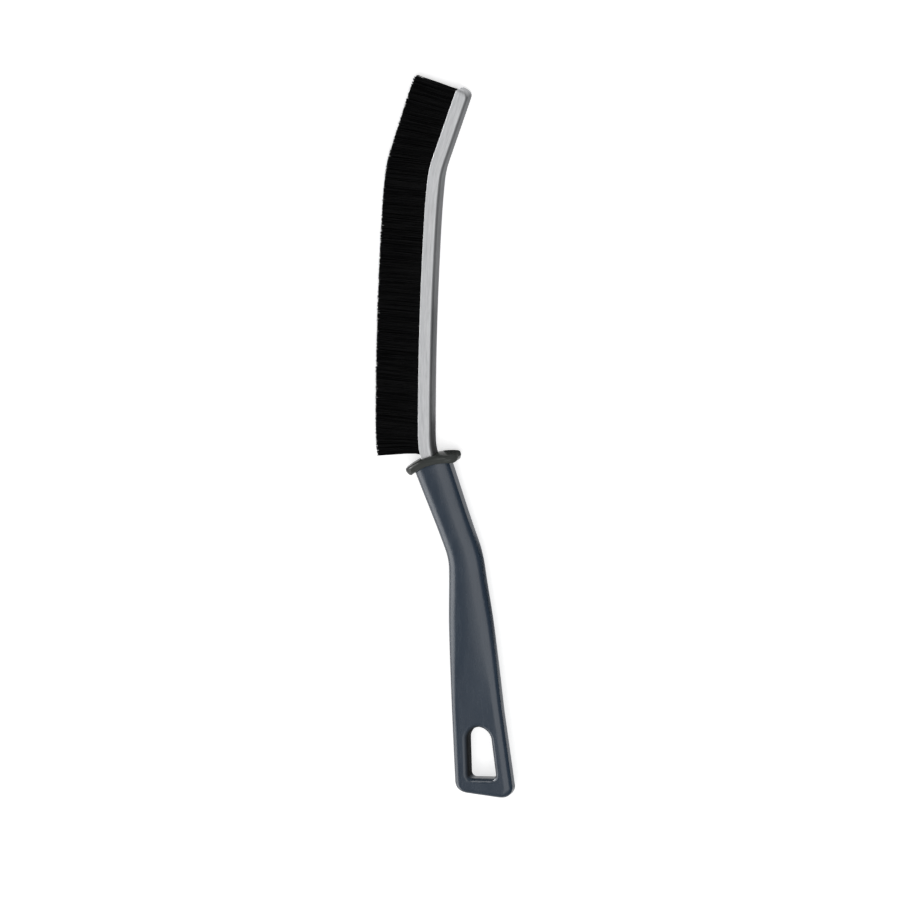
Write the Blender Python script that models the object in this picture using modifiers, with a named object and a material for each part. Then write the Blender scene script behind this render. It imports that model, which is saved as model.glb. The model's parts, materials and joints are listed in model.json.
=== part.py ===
"""A crevice cleaning brush: black filaments in a folded steel channel, on a moulded handle.

Units are metres and radians. Each piece is modelled in the brush's own plane: X runs from the
hang end to the tip, Y to the bristle side and Z out of the broad face, and the origin is the
centre of the guard. An empty then lays the whole brush down on its guard and its nose.
"""

import math

import bmesh
import bpy
from mathutils import Matrix, Vector

# Clearances and cuts
FIT_GAP = 0.0003             # between two pieces that touch
CUT_OVERRUN = 0.001          # how far a cutter runs past the face that it opens

# Handle: a straight neck, a bend and a straight grip that widens to the hang end
NECK_ANGLE = math.radians(21.0)
GRIP_ANGLE = math.radians(4.6)
NECK_LENGTH = 0.0278         # from the guard's centre to the bend
HANDLE_BEND_RADIUS = 0.028
GRIP_LENGTH = 0.0711         # from the bend to the end
HANG_FLAT_LENGTH = 0.0265    # the stretch of even thickness at the end

NECK_WIDTH = 0.0118
WAIST_WIDTH = 0.0105
PALM_WIDTH = 0.0139
HANG_WIDTH = 0.0163
END_WIDTH = 0.0187

NECK_THICKNESS = 0.0070
WAIST_THICKNESS = 0.0068
PALM_THICKNESS = 0.0064
END_THICKNESS = 0.0052

NECK_EDGE_RADIUS = 0.0020
WAIST_EDGE_RADIUS = 0.0019
PALM_EDGE_RADIUS = 0.0018
END_EDGE_RADIUS = 0.0016
END_CORNER_RADIUS = 0.0036   # of the end's two corners, seen on the broad face
END_TURN = math.radians(2.4)  # of the end, so that its back corner is the longer one
MOUTH_ROUNDING = 0.0003      # of the edges of the neck and the socket

WAIST_SHARE = 0.29           # the waist's place from the guard to the end, as a share
PALM_SHARE = 0.505           # the same for the palm

# Hang hole: an arch, wider at its foot, with round edges at both mouths
HOLE_MARGIN = 0.0054         # from the end to the hole's foot
HOLE_SETBACK = 0.00032       # of its middle from the grip's, to the back
HOLE_LENGTH = 0.0162
HOLE_FOOT_WIDTH = 0.0088
HOLE_SHOULDER_WIDTH = 0.0077
HOLE_ARCH_RISE = 0.0038
HOLE_ARCH_POWER = 1.1        # 1 for half an ellipse, and more for a sharper point
HOLE_CORNER_RADIUS = 0.0014
HOLE_EDGE_RADIUS = 0.0016
MOUTH_LIFT = 0.00002         # by which a mouth's rounding ends past the face

# Guard: a flange with round corners and a round rim, arched and domed towards the head
GUARD_LENGTH = 0.0176        # along its arch, in the brush's plane
GUARD_DEPTH = 0.0090
GUARD_THICKNESS = 0.00215    # at its rim
GUARD_DOME = 0.0008          # how much thicker its middle is
GUARD_RIM_RADIUS = 0.00105
GUARD_CORNER_RADIUS = 0.0035
GUARD_ARCH_RADIUS = 0.021
GUARD_SETBACK = 0.00037      # of its middle from the neck's, to the channel's back
GUARD_DROP = 0.0003          # of its rim from the guard's centre, to the handle

# Channel: a strip folded to a U, with a round closed nose and a tang in the handle
CHANNEL_WIDTH = 0.0050
CHANNEL_DEPTH = 0.00425
CHANNEL_WALL = 0.0005
CHANNEL_FOLD_RADIUS = 0.0009
NOSE_RADIUS = 0.0023         # seen on the broad side
NOSE_SIDE_RADIUS = 0.0016    # seen from the back
NOSE_LIP_RADIUS = 0.0009     # of the lips' corners at the tip
TANG_LENGTH = 0.0220         # from the guard's centre into the handle

# The channel's line from the guard to the tip: runs that turn more and more to its back
ROOT_RUN = 0.0003
ROOT_BEND_ANGLE = math.radians(17.5)
ROOT_BEND_RADIUS = 0.0165
ROOT_EASE_RADIUS = 0.065
SWEEP_ANGLE = math.radians(3.5)
SWEEP_RADIUS = 1.10
TIP_EASE_ANGLE = math.radians(2.8)
TIP_EASE_RADIUS = 0.245
TIP_BEND_ANGLE = math.radians(12.75)
TIP_BEND_RADIUS = 0.030
TIP_RUN = 0.0242

# Filaments: a strip folded round a wire, clamped in the channel
CORE_WIRE_RADIUS = 0.0006
FOLD_THICKNESS = 0.0005      # of the filaments between the wire and the channel's back
BRISTLE_REACH = 0.0142       # past the channel's lips
STRAND_GAP = 0.0004          # between two strands at their roots
STRAND_TIP_LENGTH = 0.00095  # a strand's tip, along the channel
STRAND_TIP_WIDTH = 0.00062   # and across it
GUARD_LEAN = math.radians(10.2)   # of the filaments next to the guard
TIP_LEAN = math.radians(13.0)     # of the filaments at the tip, the other way
GUARD_LIFT = 0.0013          # how far the guard pushes the last filaments along
LIFT_FADE = 0.009            # the distance along the channel over which that fades
LIFT_RISE = 0.0015           # the distance along a filament over which it starts
KNEE_REACH = 0.0028          # where a pushed filament has its knee

# Counts
EDGE_STEPS = 5
FOLD_STEPS = 3
NOSE_STEPS = 5
ARCH_STEPS = 12
DOME_STEPS = 6
GUARD_STATIONS = 6
GUARD_CORNER_STEPS = 6
HANDLE_STATIONS = 30
CHANNEL_STATIONS = 64
WIRE_POINTS = 48
PACKS = 12
PACK_STRANDS = 8             # along the channel
STRAND_ROWS = 4              # across it
KNEED_PACKS = 1

HANDLE_BEND_ANGLE = NECK_ANGLE - GRIP_ANGLE
HANDLE_RUNS = [
    (-NECK_LENGTH, 0.0),
    (-HANDLE_BEND_RADIUS * HANDLE_BEND_ANGLE, -HANDLE_BEND_ANGLE),
    (-GRIP_LENGTH, 0.0),
]
HANDLE_LENGTH = -sum(length for length, turn in HANDLE_RUNS)
NECK_TOP = GUARD_THICKNESS / 2 + GUARD_DROP + FIT_GAP
GUARD_TOP = GUARD_THICKNESS / 2 - GUARD_DROP + GUARD_DOME

ROOT_EASE_ANGLE = NECK_ANGLE - ROOT_BEND_ANGLE
HEAD_RUNS = [
    (ROOT_RUN, 0.0),
    (ROOT_BEND_RADIUS * ROOT_BEND_ANGLE, -ROOT_BEND_ANGLE),
    (ROOT_EASE_RADIUS * ROOT_EASE_ANGLE, -ROOT_EASE_ANGLE),
    (SWEEP_RADIUS * SWEEP_ANGLE, -SWEEP_ANGLE),
    (TIP_EASE_RADIUS * TIP_EASE_ANGLE, -TIP_EASE_ANGLE),
    (TIP_BEND_RADIUS * TIP_BEND_ANGLE, -TIP_BEND_ANGLE),
    (TIP_RUN, 0.0),
]
HEAD_LENGTH = sum(length for length, turn in HEAD_RUNS)

NOSE_START = HEAD_LENGTH - NOSE_RADIUS
LIP = CHANNEL_DEPTH / 2
SLICE_FLOOR = CHANNEL_WALL + FIT_GAP - CHANNEL_DEPTH / 2
SLICE_TOP = LIP - FIT_GAP
SLICE_WIDTH = CHANNEL_WIDTH - 2 * CHANNEL_WALL - 2 * FIT_GAP
CORE_BORE_RADIUS = CORE_WIRE_RADIUS + FIT_GAP
CORE_OFFSET = SLICE_FLOOR + FOLD_THICKNESS + CORE_BORE_RADIUS
BRISTLE_START = GUARD_TOP
BRISTLE_END = HEAD_LENGTH - CHANNEL_WALL - FIT_GAP
PACK_LENGTH = (BRISTLE_END - BRISTLE_START) / PACKS
SWEEP_START = sum(length for length, turn in HEAD_RUNS[:3])
TIP_START = sum(length for length, turn in HEAD_RUNS[:5])
LEANS = [(BRISTLE_START, GUARD_LEAN), (SWEEP_START, 0.0), (TIP_START, 0.0), (BRISTLE_END, -TIP_LEAN)]

COLLECTION_NAME = "crevice_cleaning_brush"


def clear_scene():
    for old in list(bpy.data.objects):
        bpy.data.objects.remove(old, do_unlink=True)


def new_collection(name):
    collection = bpy.data.collections.new(name)
    bpy.context.scene.collection.children.link(collection)
    return collection


def make_material(name, colour, roughness, metallic=0.0):
    material = bpy.data.materials.new(name)
    material.use_nodes = True
    shader = material.node_tree.nodes["Principled BSDF"]
    shader.inputs["Base Color"].default_value = (*colour, 1.0)
    shader.inputs["Roughness"].default_value = roughness
    shader.inputs["Metallic"].default_value = metallic
    return material


def add_object(name, data, collection, material=None):
    thing = bpy.data.objects.new(name, data)
    collection.objects.link(thing)
    if material:
        data.materials.append(material)
    return thing


def add_cutter(name, mesh, collection):
    cutter = add_object(name, mesh, collection)
    cutter.hide_render = True
    cutter.display_type = "WIRE"
    return cutter


def cut(thing, cutter):
    boolean = thing.modifiers.new("cut_" + cutter.name, "BOOLEAN")
    boolean.operation = "DIFFERENCE"
    boolean.solver = "EXACT"
    boolean.object = cutter


def finish_mesh(bm, name, sharp_angle=math.radians(35.0)):
    bmesh.ops.recalc_face_normals(bm, faces=bm.faces)
    mesh = bpy.data.meshes.new(name)
    bm.to_mesh(mesh)
    bm.free()
    mesh.shade_smooth()
    mesh.set_sharp_from_angle(angle=sharp_angle)
    return mesh


def mesh_from_curve(curve, name):
    """The welded mesh of a curve, so that it can be cut or be a cutter."""
    guide = bpy.data.objects.new(name, curve)
    bpy.context.scene.collection.objects.link(guide)
    graph = bpy.context.evaluated_depsgraph_get()
    mesh = bpy.data.meshes.new_from_object(guide.evaluated_get(graph))
    bpy.data.objects.remove(guide, do_unlink=True)
    bm = bmesh.new()
    bm.from_mesh(mesh)
    bpy.data.meshes.remove(mesh)
    bmesh.ops.remove_doubles(bm, verts=bm.verts, dist=FIT_GAP / 100)
    return finish_mesh(bm, name)


def step_along(length, turn):
    """The move along a straight run or an arc, as a matrix."""
    if turn == 0.0:
        return Matrix.Translation((length, 0.0, 0.0))
    radius = length / turn
    offset = (radius * math.sin(turn), radius * (1.0 - math.cos(turn)), 0.0)
    return Matrix.Translation(offset) @ Matrix.Rotation(turn, 4, "Z")


def frame_along(runs, distance):
    """The frame at a distance from the guard: X to the tip, Y to the bristle side.

    The runs to the hang end have negative lengths. Past the last run the line goes on straight.
    """
    frame = Matrix.Rotation(NECK_ANGLE, 4, "Z")
    left = distance
    for length, turn in runs:
        step = math.copysign(min(abs(length), left), length)
        frame = frame @ step_along(step, turn * step / length)
        left -= abs(step)
    return frame @ Matrix.Translation((math.copysign(left, runs[0][0]), 0.0, 0.0))


def smooth_value(keys, place):
    """A value read from a smooth curve through (place, value) keys."""
    slopes = []
    for index in range(len(keys)):
        before = keys[max(index - 1, 0)]
        after = keys[min(index + 1, len(keys) - 1)]
        slopes.append((after[1] - before[1]) / (after[0] - before[0]))
    last = len(keys) - 2
    index = min(sum(place >= key[0] for key in keys[1:-1]), last)
    start, end = keys[index], keys[index + 1]
    span = end[0] - start[0]
    share = (place - start[0]) / span
    rest = 1.0 - share
    return (
        start[1] * (1.0 + 2.0 * share) * rest * rest
        + slopes[index] * span * share * rest * rest
        + end[1] * (3.0 - 2.0 * share) * share * share
        - slopes[index + 1] * span * share * share * rest
    )


def straight_value(keys, place):
    """A value read from straight lines through (place, value) keys."""
    index = min(sum(place >= key[0] for key in keys[1:-1]), len(keys) - 2)
    start, end = keys[index], keys[index + 1]
    share = (place - start[0]) / (end[0] - start[0])
    return start[1] + (end[1] - start[1]) * share


def rounded_ring(width, thickness, radius):
    """A rounded rectangle in the plane across X."""
    points = []
    for corner in range(4):
        side = 1.0 if corner in (0, 3) else -1.0
        face = 1.0 if corner in (0, 1) else -1.0
        for step in range(EDGE_STEPS + 1):
            angle = math.radians(90.0) * (corner + step / EDGE_STEPS)
            across = side * (width / 2 - radius) + radius * math.cos(angle)
            out = face * (thickness / 2 - radius) + radius * math.sin(angle)
            points.append(Vector((0.0, across, out)))
    return points


def skin(rings, closed_rings=True):
    """A mesh over rings of points, open at both ends, with its faces by ring and by side."""
    bm = bmesh.new()
    loops = [[bm.verts.new(point) for point in ring] for ring in rings]
    sides = len(loops[0]) if closed_rings else len(loops[0]) - 1
    bands = []
    for low, high in zip(loops, loops[1:]):
        band = []
        for side in range(sides):
            after = (side + 1) % len(low)
            band.append(bm.faces.new((low[side], low[after], high[after], high[side])))
        bands.append(band)
    return bm, loops, bands


def close_ends(bm, loops):
    bm.faces.new(loops[0])
    bm.faces.new(loops[-1])


def close_across(bm, loop):
    """Close a symmetric loop with strips from one broad side to the other."""
    for side in range(len(loop) // 2 - 1):
        bm.faces.new((loop[side], loop[side + 1], loop[-side - 2], loop[-side - 1]))


def rim_drop(radius, inset):
    """How far a round edge lies under its face, at an inset from its side."""
    left = max(radius - inset, 0.0)
    return radius - math.sqrt(radius**2 - left**2)


def handle_rings():
    """The handle's sections from the neck, arched as the guard is, to the end's round corners."""
    flat_start = HANDLE_LENGTH - HANG_FLAT_LENGTH
    waist = WAIST_SHARE * HANDLE_LENGTH
    palm = PALM_SHARE * HANDLE_LENGTH
    widths = [(NECK_TOP, NECK_WIDTH), (waist, WAIST_WIDTH), (palm, PALM_WIDTH)]
    widths += [(flat_start, HANG_WIDTH), (HANDLE_LENGTH, END_WIDTH)]
    depths = [(NECK_TOP, NECK_THICKNESS), (waist, WAIST_THICKNESS)]
    depths += [(palm, PALM_THICKNESS), (flat_start, END_THICKNESS)]
    radii = [(NECK_TOP, NECK_EDGE_RADIUS), (waist, WAIST_EDGE_RADIUS)]
    radii += [(palm, PALM_EDGE_RADIUS), (flat_start, END_EDGE_RADIUS)]

    rings = []
    for station in range(HANDLE_STATIONS + 1):
        place = NECK_TOP + (flat_start - NECK_TOP) * station / HANDLE_STATIONS
        section = [smooth_value(keys, place) for keys in (widths, depths, radii)]
        ring = rounded_ring(*section)
        if station == 0:
            for point in ring:
                point.x = -((point.y + GUARD_SETBACK) ** 2) / (2 * GUARD_ARCH_RADIUS)
        frame = frame_along(HANDLE_RUNS, place)
        rings.append([frame @ point for point in ring])

    end = Matrix.Translation(frame_along(HANDLE_RUNS, HANDLE_LENGTH).translation)
    end = end @ Matrix.Rotation(-END_TURN, 4, "Z")
    for step in range(2 * EDGE_STEPS + 1):
        angle = math.radians(90.0) * step / (2 * EDGE_STEPS)
        inset = END_CORNER_RADIUS * (1.0 - math.sin(angle))
        narrowing = END_CORNER_RADIUS * (1.0 - math.cos(angle))
        thinning = rim_drop(END_EDGE_RADIUS, inset)
        ring = rounded_ring(
            END_WIDTH - 2 * narrowing,
            END_THICKNESS - 2 * thinning,
            END_EDGE_RADIUS - thinning / 2,
        )
        rings.append([end @ (point + Vector((inset, 0.0, 0.0))) for point in ring])
    return rings


def hole_outline():
    """The hang hole from above, with X from the handle's end along the grip."""
    foot = HOLE_FOOT_WIDTH / 2
    shoulder = HOLE_SHOULDER_WIDTH / 2
    arch_start = HOLE_LENGTH - HOLE_ARCH_RISE
    points = []
    for side in (-1.0, 1.0):
        for step in range(EDGE_STEPS + 1):
            angle = math.radians(90.0) * step / EDGE_STEPS
            turned = angle if side > 0 else math.radians(90.0) - angle
            along = HOLE_CORNER_RADIUS * (1.0 - math.cos(turned))
            across = foot - HOLE_CORNER_RADIUS * (1.0 - math.sin(turned))
            points.append(Vector((along, side * across, 0.0)))
    for step in range(ARCH_STEPS + 1):
        angle = math.radians(180.0) * step / ARCH_STEPS
        along = arch_start + HOLE_ARCH_RISE * math.sin(angle) ** HOLE_ARCH_POWER
        across = shoulder * abs(math.cos(angle)) ** HOLE_ARCH_POWER
        points.append(Vector((along, math.copysign(across, math.cos(angle)), 0.0)))
    return points


def widened(outline, spread):
    """The outline with every point moved outwards."""
    points = []
    for index, point in enumerate(outline):
        along = (outline[(index + 1) % len(outline)] - outline[index - 1]).normalized()
        points.append(point + Vector((-along.y, along.x, 0.0)) * spread)
    return points


def hole_mesh(frame):
    """The hang hole as a closed loft that flares at both of its mouths."""
    half = END_THICKNESS / 2 + MOUTH_LIFT
    levels = []
    for step in range(EDGE_STEPS + 1):
        angle = math.radians(90.0) * step / EDGE_STEPS
        height = half - HOLE_EDGE_RADIUS * (1.0 - math.sin(angle))
        levels.append((height, HOLE_EDGE_RADIUS * (1.0 - math.cos(angle))))
    levels.append((half + CUT_OVERRUN, HOLE_EDGE_RADIUS))
    levels = [(-height, spread) for height, spread in reversed(levels)] + levels
    rings = []
    for height, spread in levels:
        lift = Vector((0.0, 0.0, height))
        rings.append([frame @ (point + lift) for point in widened(hole_outline(), spread)])
    bm, loops, _ = skin(rings)
    close_ends(bm, loops)
    return finish_mesh(bm, "hang_hole")


def box(name, length, width, height, frame):
    bm = bmesh.new()
    bmesh.ops.create_cube(bm, size=1.0)
    bmesh.ops.scale(bm, vec=(length, width, height), verts=bm.verts)
    bmesh.ops.transform(bm, matrix=frame, verts=bm.verts)
    return finish_mesh(bm, name)


def add_handle(collection, cutters, material):
    bm, loops, _ = skin(handle_rings())
    close_across(bm, loops[0])
    bm.faces.new(loops[-1])
    handle = add_object("handle", finish_mesh(bm, "handle"), collection, material)

    hole_place = Matrix.Translation((HOLE_MARGIN, -HOLE_SETBACK, 0.0))
    hole_frame = frame_along(HANDLE_RUNS, HANDLE_LENGTH) @ hole_place
    cut(handle, add_cutter("hang_hole", hole_mesh(hole_frame), cutters))

    depth = TANG_LENGTH + FIT_GAP
    socket_frame = frame_along(HANDLE_RUNS, 0.0) @ Matrix.Translation((-depth / 2, 0.0, 0.0))
    width = CHANNEL_DEPTH + 2 * FIT_GAP
    height = CHANNEL_WIDTH + 2 * FIT_GAP
    socket = box("tang_socket", depth, width, height, socket_frame)
    cut(handle, add_cutter("tang_socket", socket, cutters))

    rounding = handle.modifiers.new("mouth_rounding", "BEVEL")
    rounding.width = MOUTH_ROUNDING
    rounding.segments = 2
    rounding.limit_method = "ANGLE"
    rounding.angle_limit = math.radians(50.0)
    rounding.use_clamp_overlap = False
    return handle


def domed(ring):
    """A section of the guard with its head side raised, and most of all in the middle."""
    after = 2 * (EDGE_STEPS + 1)
    start, end = ring[after - 1], ring[after]
    between = [start.lerp(end, step / DOME_STEPS) for step in range(1, DOME_STEPS)]
    ring = ring[:after] + between + ring[after:]
    for point in ring:
        raised = 1 / 2 - point.y / GUARD_THICKNESS
        point.y -= GUARD_DOME * raised * (1.0 - (2 * point.z / GUARD_DEPTH) ** 2)
    return ring


def guard_rings():
    """The guard's sections from one drooping end to the other, with X along its arch."""
    straight = GUARD_LENGTH / 2 - GUARD_CORNER_RADIUS
    places = [straight * (2 * station / GUARD_STATIONS - 1.0) for station in range(GUARD_STATIONS + 1)]
    for step in range(1, GUARD_CORNER_STEPS + 1):
        angle = math.radians(90.0) * step / GUARD_CORNER_STEPS
        reach = straight + GUARD_CORNER_RADIUS * math.sin(angle)
        places = [-reach, *places, reach]

    rings = []
    for place in places:
        inset = GUARD_LENGTH / 2 - abs(place)
        thickness = GUARD_THICKNESS - 2 * rim_drop(GUARD_RIM_RADIUS, inset)
        depth = GUARD_DEPTH - 2 * rim_drop(GUARD_CORNER_RADIUS, inset)
        ring = rounded_ring(thickness, depth, GUARD_RIM_RADIUS * thickness / GUARD_THICKNESS)
        frame = step_along(place, place / GUARD_ARCH_RADIUS)
        rings.append([frame @ point for point in domed(ring)])
    return rings


def add_guard(collection, cutters, material):
    bm, loops, _ = skin(guard_rings())
    close_ends(bm, loops)
    mesh = finish_mesh(bm, "guard")
    mesh.transform(Matrix.Rotation(math.radians(90.0), 4, "Z"))
    mesh.transform(Matrix.Translation((-GUARD_DROP, -GUARD_SETBACK, 0.0)))
    guard = add_object("guard", mesh, collection, material)
    guard.rotation_euler.z = NECK_ANGLE

    length = GUARD_THICKNESS + 2 * GUARD_DOME + 2 * CUT_OVERRUN
    width = CHANNEL_DEPTH + 2 * FIT_GAP
    height = CHANNEL_WIDTH + 2 * FIT_GAP
    slot = box("guard_slot", length, width, height, Matrix.Identity(4))
    cutter = add_cutter("guard_slot", slot, cutters)
    cutter.rotation_euler.z = NECK_ANGLE
    cut(guard, cutter)
    return guard, cutter


def tip_drop(distance, radius):
    """The share of a round corner's radius that is gone at a distance, near the tip."""
    past = min(max(distance - (HEAD_LENGTH - radius), 0.0), radius)
    return 1.0 - math.sqrt(1.0 - (past / radius) ** 2)


def nose_inset(distance):
    """How far the round nose draws the channel's back and each of its sides in."""
    drop = tip_drop(distance, NOSE_RADIUS)
    return NOSE_RADIUS * drop, NOSE_SIDE_RADIUS * drop


def channel_ring(distance):
    """The folded strip's outer face in section, open at its lips."""
    rise, narrowing = nose_inset(distance)
    width = CHANNEL_WIDTH - 2 * narrowing
    back = rise - CHANNEL_DEPTH / 2
    lip = LIP - NOSE_LIP_RADIUS * tip_drop(distance, NOSE_LIP_RADIUS)
    points = [Vector((0.0, lip, -width / 2))]
    for side in (-1.0, 1.0):
        for step in range(FOLD_STEPS + 1):
            angle = math.radians(90.0) * step / FOLD_STEPS
            turned = angle if side < 0 else math.radians(90.0) - angle
            out = width / 2 - CHANNEL_FOLD_RADIUS * (1.0 - math.cos(turned))
            across = back + CHANNEL_FOLD_RADIUS * (1.0 - math.sin(turned))
            points.append(Vector((0.0, across, side * out)))
    points.append(Vector((0.0, lip, width / 2)))
    frame = frame_along(HEAD_RUNS, distance)
    return [frame @ point for point in points]


def add_channel(collection, material):
    """The strip from the tang's end to the closed nose."""
    distances = [NOSE_START * station / CHANNEL_STATIONS for station in range(CHANNEL_STATIONS + 1)]
    for step in range(1, NOSE_STEPS + 1):
        angle = math.radians(90.0) * step / NOSE_STEPS
        distances.append(NOSE_START + NOSE_RADIUS * math.sin(angle))
    rings = [channel_ring(distance) for distance in distances]
    to_tang_end = Matrix.Rotation(NECK_ANGLE, 3, "Z") @ Vector((-TANG_LENGTH, 0.0, 0.0))
    rings.insert(0, [point + to_tang_end for point in rings[0]])

    bm, loops, _ = skin(rings, closed_rings=False)
    bm.faces.new(loops[-1])
    channel = add_object("bristle_channel", finish_mesh(bm, "bristle_channel"), collection, material)
    wall = channel.modifiers.new("wall", "SOLIDIFY")
    wall.thickness = CHANNEL_WALL
    wall.offset = -1.0
    wall.use_even_offset = True
    return channel


def wire_curve(name, radius, start, end):
    """A round wire along the channel, at the place of the core."""
    curve = bpy.data.curves.new(name, "CURVE")
    curve.dimensions = "3D"
    curve.bevel_depth = radius
    curve.bevel_resolution = 1
    curve.use_fill_caps = True
    spline = curve.splines.new("POLY")
    spline.points.add(WIRE_POINTS)
    for index, place in enumerate(spline.points):
        distance = start + (end - start) * index / WIRE_POINTS
        centre = frame_along(HEAD_RUNS, distance) @ Vector((0.0, CORE_OFFSET, 0.0))
        place.co = (*centre, 1.0)
    return curve


def add_core_wire(collection, material):
    start = BRISTLE_START + FIT_GAP
    mesh = mesh_from_curve(wire_curve("core_wire", CORE_WIRE_RADIUS, start, NOSE_START), "core_wire")
    return add_object("core_wire", mesh, collection, material)


def slice_ring(distance):
    """The folded filaments in section: the row edges between the lips, then the two back corners."""
    rise, narrowing = nose_inset(distance)
    half = SLICE_WIDTH / 2 - narrowing
    points = []
    for row in range(STRAND_ROWS + 1):
        points.append(Vector((0.0, SLICE_TOP, half * (2 * row / STRAND_ROWS - 1))))
    points.append(Vector((0.0, SLICE_FLOOR + rise, half)))
    points.append(Vector((0.0, SLICE_FLOOR + rise, -half)))
    frame = frame_along(HEAD_RUNS, distance)
    return [frame @ point for point in points]


def strand_centre(distance, reach):
    """The middle of the strand that is rooted at a distance from the guard, at a reach from its root.

    Filaments lean less than the channel does, and the guard pushes those next to it along.
    """
    frame = frame_along(HEAD_RUNS, distance)
    lean = straight_value(LEANS, distance)
    direction = Vector((-math.sin(lean), math.cos(lean), 0.0))
    fade = math.exp((BRISTLE_START - distance) / LIFT_FADE)
    lift = GUARD_LIFT * fade * (1.0 - math.exp(-reach / LIFT_RISE))
    along = frame.to_3x3() @ Vector((1.0, 0.0, 0.0))
    return frame @ Vector((0.0, SLICE_TOP, 0.0)) + direction * reach + along * lift, along


def add_bristle_pack(number, collection, bore, material):
    """One slice of the folded filaments, with its strands drawn out of the face at the lips."""
    start = BRISTLE_START + number * PACK_LENGTH
    rings = []
    for station in range(PACK_STRANDS + 1):
        share = station / PACK_STRANDS
        rings.append(slice_ring(start + FIT_GAP / 2 + (PACK_LENGTH - FIT_GAP) * share))
    bm, loops, bands = skin(rings)
    close_ends(bm, loops)
    roots = [band[row] for band in bands for row in range(STRAND_ROWS)]
    bmesh.ops.recalc_face_normals(bm, faces=bm.faces)
    bmesh.ops.inset_individual(bm, faces=roots, thickness=STRAND_GAP / 2, use_even_offset=True)

    for index, face in enumerate(roots):
        place, row = divmod(index, STRAND_ROWS)
        distance = start + PACK_LENGTH * (place + 1 / 2) / PACK_STRANDS
        out = SLICE_WIDTH * ((row + 1 / 2) / STRAND_ROWS - 1 / 2)
        reaches = [KNEE_REACH] if number < KNEED_PACKS else []
        reaches.append(BRISTLE_REACH + FIT_GAP)
        for reach in reaches:
            face = bmesh.ops.extrude_discrete_faces(bm, faces=[face])["faces"][0]
            centre, along = strand_centre(distance, reach)
            middle = face.calc_center_median()
            for vert in face.verts:
                side = math.copysign(STRAND_TIP_LENGTH / 2, (vert.co - middle).dot(along))
                lift = math.copysign(STRAND_TIP_WIDTH / 2, vert.co.z - middle.z)
                vert.co = centre + along * side + Vector((0.0, 0.0, out + lift))

    name = f"bristles_{number + 1:02d}"
    pack = add_object(name, finish_mesh(bm, name), collection, material)
    cut(pack, bore)
    return pack


def lay_down(things, collection):
    """Turn the brush about its guard until the nose touches the floor, and set it on the origin.

    The steel head outweighs the plastic handle, so a brush that is laid down tips to its head.
    """
    frame = bpy.data.objects.new("brush_at_rest", None)
    collection.objects.link(frame)
    nose = frame_along(HEAD_RUNS, NOSE_START).translation
    fall = (GUARD_DEPTH - CHANNEL_WIDTH) / 2
    frame.rotation_euler.y = math.atan2(fall, nose.x)
    for thing in things:
        thing.parent = frame
    bpy.context.view_layer.update()
    graph = bpy.context.evaluated_depsgraph_get()
    corners = []
    for thing in things:
        if thing.hide_render:
            continue
        solid = thing.evaluated_get(graph)
        corners += [solid.matrix_world @ vert.co for vert in solid.data.vertices]
    low = [min(corner[axis] for corner in corners) for axis in range(3)]
    high = [max(corner[axis] for corner in corners) for axis in range(3)]
    frame.location = (-(low[0] + high[0]) / 2, -(low[1] + high[1]) / 2, -low[2])


def main():
    clear_scene()
    collection = new_collection(COLLECTION_NAME)
    cutters = new_collection("cutters")
    grey_plastic = make_material("handle_plastic", (0.078, 0.091, 0.107), 0.5)
    dark_plastic = make_material("guard_plastic", (0.050, 0.055, 0.053), 0.35)
    steel = make_material("channel_steel", (0.50, 0.51, 0.52), 0.38, metallic=1.0)
    wire_steel = make_material("wire_steel", (0.40, 0.40, 0.40), 0.45, metallic=1.0)
    nylon = make_material("bristle_nylon", (0.010, 0.011, 0.012), 0.55)

    handle = add_handle(collection, cutters, grey_plastic)
    guard, guard_slot = add_guard(collection, cutters, dark_plastic)
    channel = add_channel(collection, steel)
    core_wire = add_core_wire(collection, wire_steel)

    bore_curve = wire_curve(
        "core_bore", CORE_BORE_RADIUS, BRISTLE_START - CUT_OVERRUN, NOSE_START + FIT_GAP
    )
    bore = add_cutter("core_bore", mesh_from_curve(bore_curve, "core_bore"), cutters)
    packs = [add_bristle_pack(number, collection, bore, nylon) for number in range(PACKS)]
    lay_down([handle, guard, channel, core_wire, *packs, *cutters.objects], collection)


main()
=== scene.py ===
"""The looks of the crevice cleaning brush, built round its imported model.

Pieces are made in the brush's own plane, as the part is: X runs from the hang end to the tip, Y to
the bristle side and Z out of the broad face, with the origin at the guard's centre. The matrix
`rest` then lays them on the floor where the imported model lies.
"""

import json
import math
import random

import bmesh
import bpy
from mathutils import Matrix, Vector

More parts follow.
